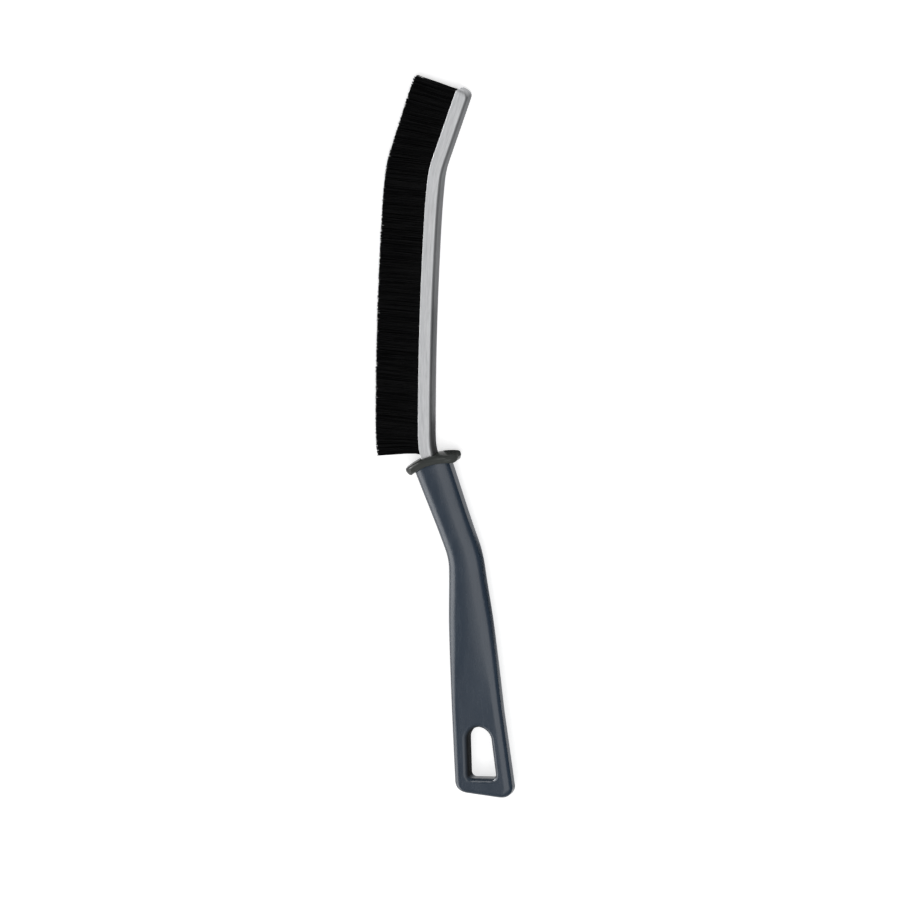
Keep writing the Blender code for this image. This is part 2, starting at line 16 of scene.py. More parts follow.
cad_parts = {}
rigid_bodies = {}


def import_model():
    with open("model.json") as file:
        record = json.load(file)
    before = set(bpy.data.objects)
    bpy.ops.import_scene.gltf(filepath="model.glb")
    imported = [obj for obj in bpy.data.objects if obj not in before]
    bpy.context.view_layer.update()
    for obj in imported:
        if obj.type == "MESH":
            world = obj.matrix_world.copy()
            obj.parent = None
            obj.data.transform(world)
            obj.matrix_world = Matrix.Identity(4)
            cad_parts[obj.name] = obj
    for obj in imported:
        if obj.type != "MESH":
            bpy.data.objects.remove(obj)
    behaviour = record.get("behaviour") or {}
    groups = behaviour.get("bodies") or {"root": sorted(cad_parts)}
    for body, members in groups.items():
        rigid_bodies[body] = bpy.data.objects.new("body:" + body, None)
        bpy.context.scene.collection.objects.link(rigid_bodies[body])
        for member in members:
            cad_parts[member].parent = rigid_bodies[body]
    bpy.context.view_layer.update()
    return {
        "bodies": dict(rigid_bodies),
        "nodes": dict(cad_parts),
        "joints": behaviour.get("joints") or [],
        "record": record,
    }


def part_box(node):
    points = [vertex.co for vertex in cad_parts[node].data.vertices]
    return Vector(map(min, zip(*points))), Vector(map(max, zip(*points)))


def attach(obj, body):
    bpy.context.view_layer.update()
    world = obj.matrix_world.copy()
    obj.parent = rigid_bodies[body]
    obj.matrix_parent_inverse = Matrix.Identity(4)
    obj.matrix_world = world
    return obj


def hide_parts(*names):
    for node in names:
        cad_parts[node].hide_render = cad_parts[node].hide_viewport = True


MM = 0.001
QUARTER = math.radians(90.0)

# Sizes that the part's source gives
FIT_GAP = 0.3 * MM
CUT_OVERRUN = 1.0 * MM

NECK_ANGLE = math.radians(21.0)
GRIP_ANGLE = math.radians(4.6)
NECK_LENGTH = 27.8 * MM
HANDLE_BEND_RADIUS = 28.0 * MM
GRIP_LENGTH = 71.1 * MM
HANG_FLAT_LENGTH = 26.5 * MM
NECK_SECTION = (11.8 * MM, 7.0 * MM, 2.0 * MM)
WAIST_SECTION = (10.5 * MM, 6.8 * MM, 1.9 * MM)
PALM_SECTION = (13.9 * MM, 6.4 * MM, 1.8 * MM)
HANG_SECTION = (16.3 * MM, 5.2 * MM, 1.6 * MM)
END_WIDTH = 18.7 * MM
END_CORNER_RADIUS = 3.6 * MM
END_TURN = math.radians(2.4)
WAIST_SHARE = 0.29
PALM_SHARE = 0.505
CROWN_SHARE = 0.20              # by which the broad faces' edges lie under their middle
EDGE_STRETCH = 1.8              # of the broad faces' round edges: their width over their depth
END_EDGE_STRETCH = 1.5

HOLE_MARGIN = 5.4 * MM
HOLE_SETBACK = 0.32 * MM
HOLE_LENGTH = 16.2 * MM
HOLE_FOOT_WIDTH = 8.8 * MM
HOLE_SHOULDER_WIDTH = 7.7 * MM
HOLE_ARCH_RISE = 3.8 * MM
HOLE_ARCH_POWER = 1.1
HOLE_CORNER_RADIUS = 1.4 * MM
HOLE_EDGE_RADIUS = 1.6 * MM
MOUTH_LIFT = 0.02 * MM

GUARD_LENGTH = 17.6 * MM
GUARD_DEPTH = 9.0 * MM
GUARD_THICKNESS = 2.15 * MM
GUARD_DOME = 0.8 * MM
GUARD_RIM_RADIUS = 1.05 * MM
GUARD_CORNER_RADIUS = 3.5 * MM
GUARD_ARCH_RADIUS = 21.0 * MM
GUARD_SETBACK = 0.37 * MM
GUARD_DROP = 0.3 * MM

CHANNEL_WIDTH = 5.0 * MM
CHANNEL_DEPTH = 4.25 * MM
CHANNEL_WALL = 0.5 * MM
CHANNEL_FOLD_RADIUS = 0.9 * MM
NOSE_RADIUS = 2.3 * MM
NOSE_SIDE_RADIUS = 1.6 * MM
NOSE_LIP_RADIUS = 0.9 * MM
TANG_LENGTH = 22.0 * MM

ROOT_RUN = 0.3 * MM
ROOT_BEND_ANGLE = math.radians(17.5)
ROOT_BEND_RADIUS = 16.5 * MM
ROOT_EASE_RADIUS = 65.0 * MM
SWEEP_ANGLE = math.radians(3.5)
SWEEP_RADIUS = 1100.0 * MM
TIP_EASE_ANGLE = math.radians(2.8)
TIP_EASE_RADIUS = 245.0 * MM
TIP_BEND_ANGLE = math.radians(12.75)
TIP_BEND_RADIUS = 30.0 * MM
TIP_RUN = 24.2 * MM

BRISTLE_REACH = 14.2 * MM
GUARD_LEAN = math.radians(10.2)
TIP_LEAN = math.radians(13.0)
GUARD_LIFT = 1.3 * MM
LIFT_FADE = 9.0 * MM
LIFT_RISE = 1.5 * MM

# Detail that only the looks have
# Roundings: width, segments and the angle from which an edge gets one
NECK_ROUNDING = (0.45 * MM, 4, math.radians(50.0))
SLOT_ROUNDING = (0.15 * MM, 3, math.radians(60.0))
LIP_ROUNDING = (0.14 * MM, 3, math.radians(60.0))
SHARP_ANGLE = math.radians(35.0)
PIECE_SHARP_ANGLE = math.radians(40.0)
FILAMENT_SHARP_ANGLE = math.radians(60.0)
FLAT_FACE_WEIGHT = 80
RECESS_DEPTH_SHARE = 0.5        # of the hole's rounding, over which the painted shade on its walls sets in
NECK_SUNK = 0.6 * MM             # how far the neck reaches into the guard, past the part's gap
FILAMENT_RADIUS = 0.14 * MM
FILAMENT_TAPER = 0.85
FILAMENT_ROOT = 1.05 * MM       # how deep in the mouth a filament starts
FILAMENT_TRIM = 0.22 * MM       # by how much the trimmed ends differ
FILAMENT_BOW = 0.22 * MM
FILAMENT_TILT = math.radians(0.9)
FILAMENT_STAGGER = 0.25         # of the pitch, between odd and even rows
FILAMENT_SHIFT = 0.2            # of the pitch, by chance
FILAMENT_SCATTER = 0.03 * MM    # across the strip, by chance
FILAMENT_SEED = 7
FILAMENTS_ALONG = 430
FILAMENTS_ACROSS = 12
FILAMENT_SIDES = 4
FILAMENT_SEGMENTS = 5
EDGE_STEPS = 8
FACE_STEPS = 10
FOLD_STEPS = 6
NOSE_STEPS = 14
ARCH_STEPS = 36
DOME_STEPS = 20
GUARD_STATIONS = 24
GUARD_CORNER_STEPS = 12
HANDLE_STATIONS = 64
CHANNEL_STATIONS = 230
PACKS = 12

NOISE_SPAN = (0.3, 0.7)         # in which most of a noise's values lie

# Plastics: dark and light colour, mean roughness, the grain's size and depth, and shine
HANDLE_FINISH = ((0.022, 0.037, 0.060), (0.028, 0.045, 0.070), 0.26, 0.18 * MM, 0.02 * MM, 0.5)
GUARD_FINISH = ((0.056, 0.061, 0.058), (0.072, 0.077, 0.074), 0.20, 0.3 * MM, 0.004 * MM, 0.12)
CLOUD_SCALE = 60.0
WORN_SCALE = (90.0, 500.0, 500.0)
GLOSS_SPREAD = 0.05             # of the roughness, to either side of its mean
PAINTED_HOLE_SHADE = 0.10             # of the dark colour: painted shade deep in the hang hole
RECESS_ROUGHNESS = 1.0
GRAIN_STRENGTH = 0.5
WAVE_SCALE = 130.0
WAVE_DEPTH = 0.15 * MM
WAVE_STRENGTH = 0.25

# Steel: noise scales along and across the strip, and bands across it as shares of its depth,
# where 0 is the middle of the back and 0.5 is a lip
STREAK_SCALE = (130.0, 36000.0, 1.0)
BLOTCH_SCALE = (90.0, 7000.0, 1.0)
STEEL_WAVE_SCALE = (45.0, 420.0, 1.0)
STREAK_SHARE = 0.45
STREAK_DEPTH = 0.006 * MM
STREAK_STRENGTH = 0.6
STEEL_WAVE_DEPTH = 0.10 * MM
BACK_SHADE_BAND = (0.26, 0.43)        # over which the back's painted shade gives way to the sides' colour
DULL_BAND = (0.34, 0.44)        # over which the back's dull finish ends
NOSE_BAND = (0.4, 0.9)          # shares of the nose's radius, over which the painted shade on its back ends
SIDE_TONES = ((0.34, (0.40, 0.405, 0.415)), (0.66, (0.64, 0.645, 0.655)))
# The back's tones are the sides' steel darkened: painted shade on the back of the strip
BACK_SHADE_TONES = ((0.32, (0.175, 0.179, 0.184)), (0.68, (0.27, 0.275, 0.282)))
SIDE_ROUGHNESS = (0.46, 0.30)
BACK_ROUGHNESS = 0.75

# Wire and filaments
WIRE_SCALE = (200.0, 6000.0, 6000.0)
WIRE_TONES = ((0.3, (0.33, 0.33, 0.33)), (0.7, (0.46, 0.46, 0.46)))
WIRE_ROUGHNESS = (0.38, 0.5)
NYLON_TONES = ((0.15, (0.0008, 0.0009, 0.0010)), (0.9, (0.0028, 0.0029, 0.0033)))
NYLON_ROUGHNESS = (0.45, 0.65)
NYLON_SHINE = 0.05
NYLON_PATCH_SCALE = 220.0
NYLON_PATCH_SHARE = 0.35

# The studio
WORLD_LEVEL = 0.35
FLOOR_GLOW = 0.62
FLOOR_SIZE = 6.0
FLOOR_TONES = ((0.0, (0.80, 0.80, 0.80)), (1.0, (0.81, 0.81, 0.81)))
FLOOR_SCALE = 3.0
FLOOR_ROUGHNESS = 0.9
CARD_TONES = ((0.0, (0.01, 0.01, 0.01)), (1.0, (0.014, 0.014, 0.014)))
CARD_SCALE = 40.0
# Lamps: direction from the guard, distance, two sizes, power, and whether it lights everything
# or only shows as a reflection
LAMPS = (
    ("top", (-0.18, -0.28, 0.94), 1.6, 1.3, 1.85, 13.0, True),
    ("key", (0.62, 0.36, 0.70), 1.3, 0.45, 0.45, 3.0, False),
    ("left", (-0.267, 0.89, 0.38), 1.0, 1.6, 0.6, 10.5, False),
    ("rim", (0.33, 0.93, 0.14), 1.0, 0.5, 0.22, 8.0, False),
)
# Dark cards: size, lean, turn and place from the guard
CARDS = (
    ("dark_card_standing", (1.6, 0.2), QUARTER, 0.0, (-0.1, -0.40, 0.115)),
    ("dark_card_flat", (0.30, 0.30), 0.0, math.radians(10.0), (-0.075, -0.178, -0.0035)),
    ("dark_card_small", (0.011, 0.009), 0.0, 0.0, (0.0065, -0.0070, -0.0037)),
)

# The photograph's camera, in the brush's own plane
VIEW_YAW = math.radians(20.5)
VIEW_RISE = math.radians(15.5)
VIEW_DISTANCE = 10.0
VIEW_WIDTH = 274.4 * MM
VIEW_CENTRE = (5.73 * MM, 2.73 * MM)   # from the guard's centre to the picture's, right and up
SENSOR_WIDTH = 36.0
CLIP_END = 100.0

HANDLE_BEND_ANGLE = NECK_ANGLE - GRIP_ANGLE
HANDLE_RUNS = [
    (-NECK_LENGTH, 0.0),
    (-HANDLE_BEND_RADIUS * HANDLE_BEND_ANGLE, -HANDLE_BEND_ANGLE),
    (-GRIP_LENGTH, 0.0),
]
HANDLE_LENGTH = -sum(length for length, turn in HANDLE_RUNS)
NECK_TOP = GUARD_THICKNESS / 2 + GUARD_DROP + FIT_GAP
GUARD_TOP = GUARD_THICKNESS / 2 - GUARD_DROP + GUARD_DOME
ROOT_EASE_ANGLE = NECK_ANGLE - ROOT_BEND_ANGLE
HEAD_RUNS = [
    (ROOT_RUN, 0.0),
    (ROOT_BEND_RADIUS * ROOT_BEND_ANGLE, -ROOT_BEND_ANGLE),
    (ROOT_EASE_RADIUS * ROOT_EASE_ANGLE, -ROOT_EASE_ANGLE),
    (SWEEP_RADIUS * SWEEP_ANGLE, -SWEEP_ANGLE),
    (TIP_EASE_RADIUS * TIP_EASE_ANGLE, -TIP_EASE_ANGLE),
    (TIP_BEND_RADIUS * TIP_BEND_ANGLE, -TIP_BEND_ANGLE),
    (TIP_RUN, 0.0),
]
HEAD_LENGTH = sum(length for length, turn in HEAD_RUNS)
NOSE_START = HEAD_LENGTH - NOSE_RADIUS
LIP = CHANNEL_DEPTH / 2
SLICE_WIDTH = CHANNEL_WIDTH - 2 * CHANNEL_WALL - 2 * FIT_GAP
BRISTLE_START = GUARD_TOP
BRISTLE_END = HEAD_LENGTH - CHANNEL_WALL - FIT_GAP
SWEEP_START = sum(length for length, turn in HEAD_RUNS[:3])
TIP_START = sum(length for length, turn in HEAD_RUNS[:5])
LEANS = [
    (BRISTLE_START, GUARD_LEAN),
    (SWEEP_START, 0.0),
    (TIP_START, 0.0),
    (BRISTLE_END, -TIP_LEAN),
]


def step_along(length, turn):
    """The frame at the end of a run that turns evenly."""
    if turn == 0.0:
        return Matrix.Translation((length, 0.0, 0.0))
    radius = length / turn
    offset = (radius * math.sin(turn), radius * (1.0 - math.cos(turn)), 0.0)
    return Matrix.Translation(offset) @ Matrix.Rotation(turn, 4, "Z")


def frame_along(runs, distance):
    """The frame at a distance from the guard: X to the tip, Y to the bristle side."""
    frame = Matrix.Rotation(NECK_ANGLE, 4, "Z")
    left = distance
    for length, turn in runs:
        step = math.copysign(min(abs(length), left), length)
        frame = frame @ step_along(step, turn * step / length)
        left -= abs(step)
    return frame @ Matrix.Translation((math.copysign(left, runs[0][0]), 0.0, 0.0))


def smooth_value(keys, place):
    """A value read from a smooth curve through (place, value) keys."""
    slopes = []
    for index in range(len(keys)):
        before = keys[max(index - 1, 0)]
        after = keys[min(index + 1, len(keys) - 1)]
        slopes.append((after[1] - before[1]) / (after[0] - before[0]))
    index = min(sum(place >= key[0] for key in keys[1:-1]), len(keys) - 2)
    start, end = keys[index], keys[index + 1]
    span = end[0] - start[0]
    share = (place - start[0]) / span
    rest = 1.0 - share
    return (
        start[1] * (1.0 + 2.0 * share) * rest * rest
        + slopes[index] * span * share * rest * rest
        + end[1] * (3.0 - 2.0 * share) * share * share
        - slopes[index + 1] * span * share * share * rest
    )


def straight_value(keys, place):
    """A value read from straight lines through (place, value) keys."""
    index = min(sum(place >= key[0] for key in keys[1:-1]), len(keys) - 2)
    start, end = keys[index], keys[index + 1]
    share = (place - start[0]) / (end[0] - start[0])
    return start[1] + (end[1] - start[1]) * share


def rounded_ring(width, thickness, radius, face_steps=1, crown=0.0, stretch=1.0):
    """A rounded rectangle across X, whose edges may be stretched and whose broad faces crowned."""
    points = []
    breadth = radius * stretch
    for corner in range(4):
        side = 1.0 if corner in (0, 3) else -1.0
        face = 1.0 if corner in (0, 1) else -1.0
        for step in range(EDGE_STEPS + 1):
            angle = QUARTER * (corner + step / EDGE_STEPS)
            across = side * (width / 2 - breadth) + breadth * math.cos(angle)
            out = face * (thickness / 2 - radius) + radius * math.sin(angle)
            points.append(Vector((0.0, across, out)))
        if corner in (0, 2):
            for step in range(1, face_steps):
                across = side * (width / 2 - breadth) * (1.0 - 2 * step / face_steps)
                points.append(Vector((0.0, across, face * thickness / 2)))
    for point in points:
        point.z *= 1.0 - crown * (2 * point.y / width) ** 2
    return points


def rim_drop(radius, inset):
    """How far a rounded rim lies under its face at an inset from its end."""
    left = max(radius - inset, 0.0)
    return radius - math.sqrt(radius**2 - left**2)


def skin(rings, closed_rings=True):
    """A mesh of quads through rings of the same length, open at both ends."""
    bm = bmesh.new()
    loops = [[bm.verts.new(point) for point in ring] for ring in rings]
    sides = len(loops[0]) if closed_rings else len(loops[0]) - 1
    for low, high in zip(loops, loops[1:]):
        for side in range(sides):
            after = (side + 1) % len(low)
            bm.faces.new((low[side], low[after], high[after], high[side]))
    return bm, loops


def mesh_of(bm, name):
    bmesh.ops.recalc_face_normals(bm, faces=bm.faces)
    mesh = bpy.data.meshes.new(name)
    bm.to_mesh(mesh)
    bm.free()
    mesh.shade_smooth()
    mesh.set_sharp_from_angle(angle=SHARP_ANGLE)
    return mesh


def add_object(name, data, material=None):
    thing = bpy.data.objects.new(name, data)
    bpy.context.scene.collection.objects.link(thing)
    if material:
        data.materials.append(material)
    return thing


def cut(thing, cutter):
    boolean = thing.modifiers.new("cut", "BOOLEAN")
    boolean.operation = "DIFFERENCE"
    boolean.solver = "EXACT"
    boolean.object = cutter


def round_edges(thing, width, segments, limit):
    bevel = thing.modifiers.new("rounding", "BEVEL")
    bevel.width = width
    bevel.segments = segments
    bevel.limit_method = "ANGLE"
    bevel.angle_limit = limit
    bevel.use_clamp_overlap = False
    bevel.harden_normals = False


def mark_painted_hole_shade(thing, frame, length, half_width, half_height):
    """A vertex attribute that is 1 deep in the hole and fades to 0 at its mouths and its foot; it
    masks the painted shade on the hole's walls.
    """
    to_hole = frame.inverted()
    values = []
    for vert in thing.data.vertices:
        place = to_hole @ vert.co
        along_hole = place.x < length + HOLE_EDGE_RADIUS
        inside = along_hole and abs(place.y) < half_width + HOLE_EDGE_RADIUS
        depth = min(half_height - abs(place.z), place.x) / (HOLE_EDGE_RADIUS * RECESS_DEPTH_SHARE)
        values.append(min(max(depth, 0.0), 1.0) if inside else 0.0)
    attribute = thing.data.attributes.new("wall", "FLOAT", "POINT")
    attribute.data.foreach_set("value", values)


def apply_modifiers(thing, cutters=()):
    """Keep the modifiers' result as the mesh, and drop the cutters."""
    bpy.context.view_layer.update()
    graph = bpy.context.evaluated_depsgraph_get()
    mesh = bpy.data.meshes.new_from_object(thing.evaluated_get(graph))
    thing.modifiers.clear()
    thing.data = mesh
    for cutter in cutters:
        bpy.data.objects.remove(cutter, do_unlink=True)


def even_shading(thing):
    """Smooth normals that the large flat faces hold flat."""
    thing.data.shade_smooth()
    thing.data.set_sharp_from_angle(angle=PIECE_SHARP_ANGLE)
    weighted = thing.modifiers.new("flat_faces", "WEIGHTED_NORMAL")
    weighted.keep_sharp = True
    weighted.weight = FLAT_FACE_WEIGHT


def box_cutter(name, size, frame):
    bm = bmesh.new()
    bmesh.ops.create_cube(bm, size=1.0)
    bmesh.ops.scale(bm, vec=size, verts=bm.verts)
    bmesh.ops.transform(bm, matrix=frame, verts=bm.verts)
    return add_object(name, mesh_of(bm, name))


def handle_rings():
    """The handle's sections from the guard to the hang end."""
    flat_start = HANDLE_LENGTH - HANG_FLAT_LENGTH
    neck_end = NECK_TOP - NECK_SUNK
    places = (NECK_TOP, WAIST_SHARE * HANDLE_LENGTH, PALM_SHARE * HANDLE_LENGTH, flat_start)
    sections = (NECK_SECTION, WAIST_SECTION, PALM_SECTION, HANG_SECTION)
    keys = [list(zip(places, values)) for values in zip(*sections)]
    keys[0].append((HANDLE_LENGTH, END_WIDTH))
    rings = []
    for station in range(HANDLE_STATIONS + 1):
        place = neck_end + (flat_start - neck_end) * station / HANDLE_STATIONS
        fade = min((flat_start - place) / (flat_start - places[2]), 1.0)
        fade *= fade * (3.0 - 2.0 * fade)
        stretch = END_EDGE_STRETCH + (EDGE_STRETCH - END_EDGE_STRETCH) * fade
        section = [smooth_value(row, place) for row in keys]
        ring = rounded_ring(*section, FACE_STEPS, CROWN_SHARE * fade, stretch)
        if station == 0:
            for point in ring:
                point.x = -((point.y + GUARD_SETBACK) ** 2) / (2 * GUARD_ARCH_RADIUS)
        frame = frame_along(HANDLE_RUNS, place)
        rings.append([frame @ point for point in ring])

    thickness, radius = HANG_SECTION[1:]
    end = Matrix.Translation(frame_along(HANDLE_RUNS, HANDLE_LENGTH).translation)
    end = end @ Matrix.Rotation(-END_TURN, 4, "Z")
    for step in range(2 * EDGE_STEPS + 1):
        angle = QUARTER * step / (2 * EDGE_STEPS)
        inset = END_CORNER_RADIUS * (1.0 - math.sin(angle))
        narrowing = END_CORNER_RADIUS * (1.0 - math.cos(angle))
        thinning = rim_drop(radius, inset)
        section = (END_WIDTH - 2 * narrowing, thickness - 2 * thinning, radius - thinning / 2)
        ring = rounded_ring(*section, FACE_STEPS, 0.0, END_EDGE_STRETCH)
        rings.append([end @ (point + Vector((inset, 0.0, 0.0))) for point in ring])
    return rings


def hole_outline():
    """The hang hole's outline, clockwise from its foot."""
    points = []
    for side in (-1.0, 1.0):
        for step in range(EDGE_STEPS + 1):
            angle = QUARTER * step / EDGE_STEPS
            turned = angle if side > 0 else QUARTER - angle
            along = HOLE_CORNER_RADIUS * (1.0 - math.cos(turned))
            across = HOLE_FOOT_WIDTH / 2 - HOLE_CORNER_RADIUS * (1.0 - math.sin(turned))
            points.append(Vector((along, side * across, 0.0)))
    for step in range(ARCH_STEPS + 1):
        angle = 2 * QUARTER * step / ARCH_STEPS
        along = HOLE_LENGTH - HOLE_ARCH_RISE * (1.0 - math.sin(angle) ** HOLE_ARCH_POWER)
        across = HOLE_SHOULDER_WIDTH / 2 * abs(math.cos(angle)) ** HOLE_ARCH_POWER
        points.append(Vector((along, math.copysign(across, math.cos(angle)), 0.0)))
    return points


def widened(outline, spread):
    """The outline with every point moved outwards."""
    points = []
    for index, point in enumerate(outline):
        along = (outline[(index + 1) % len(outline)] - outline[index - 1]).normalized()
        points.append(point + Vector((-along.y, along.x, 0.0)) * spread)
    return points


def hole_cutter(frame):
    """The hang hole as a closed loft that flares at both of its mouths."""
    half = HANG_SECTION[1] / 2 + MOUTH_LIFT
    levels = []
    for step in range(EDGE_STEPS + 1):
        angle = QUARTER * step / EDGE_STEPS
        height = half - HOLE_EDGE_RADIUS * (1.0 - math.sin(angle))
        levels.append((height, HOLE_EDGE_RADIUS * (1.0 - math.cos(angle))))
    levels.append((half + CUT_OVERRUN, HOLE_EDGE_RADIUS))
    levels = [(-height, spread) for height, spread in reversed(levels)] + levels
    rings = []
    for height, spread in levels:
        lift = Vector((0.0, 0.0, height))
        rings.append([frame @ (point + lift) for point in widened(hole_outline(), spread)])
    bm, loops = skin(rings)
    bm.faces.new(loops[0])
    bm.faces.new(loops[-1])
    return add_object("hole_cutter", mesh_of(bm, "hole_cutter"))


def make_handle(material):
    bm, loops = skin(handle_rings())
    first = loops[0]
    for side in range(len(first) // 2 - 1):
        bm.faces.new((first[side], first[side + 1], first[-side - 2], first[-side - 1]))
    bm.faces.new(loops[-1])
    handle = add_object("handle_shell", mesh_of(bm, "handle_shell"), material)

    hole_place = Matrix.Translation((HOLE_MARGIN, -HOLE_SETBACK, 0.0))
    hole_frame = frame_along(HANDLE_RUNS, HANDLE_LENGTH) @ hole_place
    hole = hole_cutter(hole_frame)
    depth = TANG_LENGTH + FIT_GAP
    size = (depth, CHANNEL_DEPTH + 2 * FIT_GAP, CHANNEL_WIDTH + 2 * FIT_GAP)
    socket_frame = frame_along(HANDLE_RUNS, 0.0) @ Matrix.Translation((-depth / 2, 0.0, 0.0))
    socket = box_cutter("socket_cutter", size, socket_frame)
    cut(handle, hole)
    round_edges(handle, *NECK_ROUNDING)
    cut(handle, socket)
    apply_modifiers(handle, (hole, socket))
    # Mask for the painted shade on the hang hole's walls
    mark_painted_hole_shade(handle, hole_frame, HOLE_LENGTH, HOLE_FOOT_WIDTH / 2, HANG_SECTION[1] / 2)
    even_shading(handle)
    return handle


def domed(ring):
    """A section of the guard with its head side raised, and most of all in the middle."""
    after = 2 * (EDGE_STEPS + 1)
    start, end = ring[after - 1], ring[after]
    between = [start.lerp(end, step / DOME_STEPS) for step in range(1, DOME_STEPS)]
    ring = ring[:after] + between + ring[after:]
    for point in ring:
        raised = 0.5 - point.y / GUARD_THICKNESS
        point.y -= GUARD_DOME * raised * (1.0 - (2 * point.z / GUARD_DEPTH) ** 2)
    return ring


def make_guard(material):
    straight = GUARD_LENGTH / 2 - GUARD_CORNER_RADIUS
    stations = range(GUARD_STATIONS + 1)
    places = [straight * (2 * station / GUARD_STATIONS - 1.0) for station in stations]
    for step in range(1, GUARD_CORNER_STEPS + 1):
        reach = straight + GUARD_CORNER_RADIUS * math.sin(QUARTER * step / GUARD_CORNER_STEPS)
        places = [-reach, *places, reach]
    rings = []
    for place in places:
        inset = GUARD_LENGTH / 2 - abs(place)
        thickness = GUARD_THICKNESS - 2 * rim_drop(GUARD_RIM_RADIUS, inset)
        depth = GUARD_DEPTH - 2 * rim_drop(GUARD_CORNER_RADIUS, inset)
        ring = rounded_ring(thickness, depth, GUARD_RIM_RADIUS * thickness / GUARD_THICKNESS)
        frame = step_along(place, place / GUARD_ARCH_RADIUS)
        rings.append([frame @ point for point in domed(ring)])
    bm, loops = skin(rings)
    bm.faces.new(loops[0])
    bm.faces.new(loops[-1])
    mesh = mesh_of(bm, "guard_collar")
    mesh.transform(Matrix.Rotation(QUARTER, 4, "Z"))
    mesh.transform(Matrix.Translation((-GUARD_DROP, -GUARD_SETBACK, 0.0)))
    mesh.transform(Matrix.Rotation(NECK_ANGLE, 4, "Z"))
    guard = add_object("guard_collar", mesh, material)
    length = GUARD_THICKNESS + 2 * GUARD_DOME + 2 * CUT_OVERRUN
    size = (length, CHANNEL_DEPTH + 2 * FIT_GAP, CHANNEL_WIDTH + 2 * FIT_GAP)
    slot = box_cutter("slot_cutter", size, Matrix.Rotation(NECK_ANGLE, 4, "Z"))
    cut(guard, slot)
    round_edges(guard, *SLOT_ROUNDING)
    apply_modifiers(guard, (slot,))
    even_shading(guard)
    return guard


def tip_drop(distance, radius):
    """The share of its radius by which a rounded tip falls off at a distance."""
    past = min(max(distance - (HEAD_LENGTH - radius), 0.0), radius)
    return 1.0 - math.sqrt(1.0 - (past / radius) ** 2)


def nose_inset(distance):
    drop = tip_drop(distance, NOSE_RADIUS)
    return NOSE_RADIUS * drop, NOSE_SIDE_RADIUS * drop


def channel_ring(distance):
    rise, narrowing = nose_inset(distance)
    width = CHANNEL_WIDTH - 2 * narrowing
    back = rise - CHANNEL_DEPTH / 2
    lip = LIP - NOSE_LIP_RADIUS * tip_drop(distance, NOSE_LIP_RADIUS)
    points = [Vector((0.0, lip, -width / 2))]
    for side in (-1.0, 1.0):
        for step in range(FOLD_STEPS + 1):
            angle = QUARTER * step / FOLD_STEPS
            turned = angle if side < 0 else QUARTER - angle
            out = width / 2 - CHANNEL_FOLD_RADIUS * (1.0 - math.cos(turned))
            across = back + CHANNEL_FOLD_RADIUS * (1.0 - math.sin(turned))
            points.append(Vector((0.0, across, side * out)))
    points.append(Vector((0.0, lip, width / 2)))
    frame = frame_along(HEAD_RUNS, distance)
    return [frame @ point for point in points]


def channel_rings():
    """The channel's sections from the tang's end to the nose, and their distances."""
    stations = range(CHANNEL_STATIONS + 1)
    distances = [NOSE_START * station / CHANNEL_STATIONS for station in stations]
    for step in range(1, NOSE_STEPS + 1):
        distances.append(NOSE_START + NOSE_RADIUS * math.sin(QUARTER * step / NOSE_STEPS))
    rings = [channel_ring(distance) for distance in distances]
    to_tang_end = Matrix.Rotation(NECK_ANGLE, 3, "Z") @ Vector((-TANG_LENGTH, 0.0, 0.0))
    rings.insert(0, [point + to_tang_end for point in rings[0]])
    distances.insert(0, -TANG_LENGTH)
    return distances, rings


def make_channel(material):
    distances, rings = channel_rings()
    bm, loops = skin(rings, closed_rings=False)
    bm.faces.new(loops[-1])
    along = {}
    around = {}
    for distance, loop in zip(distances, loops):
        for index, vert in enumerate(loop):
            along[vert] = distance
            around[vert] = CHANNEL_DEPTH * (index / (len(loop) - 1) - 0.5)
    layer = bm.loops.layers.uv.new("strip")
    for face in bm.faces:
        for corner in face.loops:
            corner[layer].uv = (along[corner.vert], around[corner.vert])
    channel = add_object("channel_strip", mesh_of(bm, "channel_strip"), material)
    wall = channel.modifiers.new("wall", "SOLIDIFY")
    wall.thickness = CHANNEL_WALL
    wall.offset = -1.0
    wall.use_even_offset = True
    round_edges(channel, *LIP_ROUNDING)
    apply_modifiers(channel)
    even_shading(channel)
    return channel


def filament_path(distance, out, length, seed):
    """The centre line of one filament, from inside the mouth to its trimmed end."""
    frame = frame_along(HEAD_RUNS, distance)
    to_start = (distance - BRISTLE_START) / BRISTLE_REACH
    to_end = (BRISTLE_END - distance) / BRISTLE_REACH
    tilt = min(max(seed.gauss(0.0, FILAMENT_TILT), -to_end), to_start)
    lean = straight_value(LEANS, distance) + tilt
    direction = Vector((-math.sin(lean), math.cos(lean), 0.0))
    fade = math.exp((BRISTLE_START - distance) / LIFT_FADE)
    along = frame.to_3x3() @ Vector((1.0, 0.0, 0.0))
    narrowing = nose_inset(distance)[1]
    root_out = out * (1.0 - 2 * narrowing / SLICE_WIDTH)
    side_tilt = seed.gauss(0.0, FILAMENT_TILT)
    bow_along = min(seed.gauss(0.0, FILAMENT_BOW / 2), to_end * BRISTLE_REACH)
    bow_out = seed.gauss(0.0, FILAMENT_BOW / 2)
    root = frame @ Vector((0.0, LIP - FIT_GAP, 0.0))
    points = []
    for step in range(FILAMENT_SEGMENTS + 1):
        share = step / FILAMENT_SEGMENTS
        reach = (length + FILAMENT_ROOT) * share - FILAMENT_ROOT
        past = max(reach, 0.0)
        lift = GUARD_LIFT * fade * (1.0 - math.exp(-past / LIFT_RISE))
        bow = math.sin(share * 2 * QUARTER)
        point = root + direction * reach + along * (lift + bow_along * bow)
        point.z = root_out + (out - root_out) * share + math.tan(side_tilt) * past + bow_out * bow
        points.append(point)
    return points


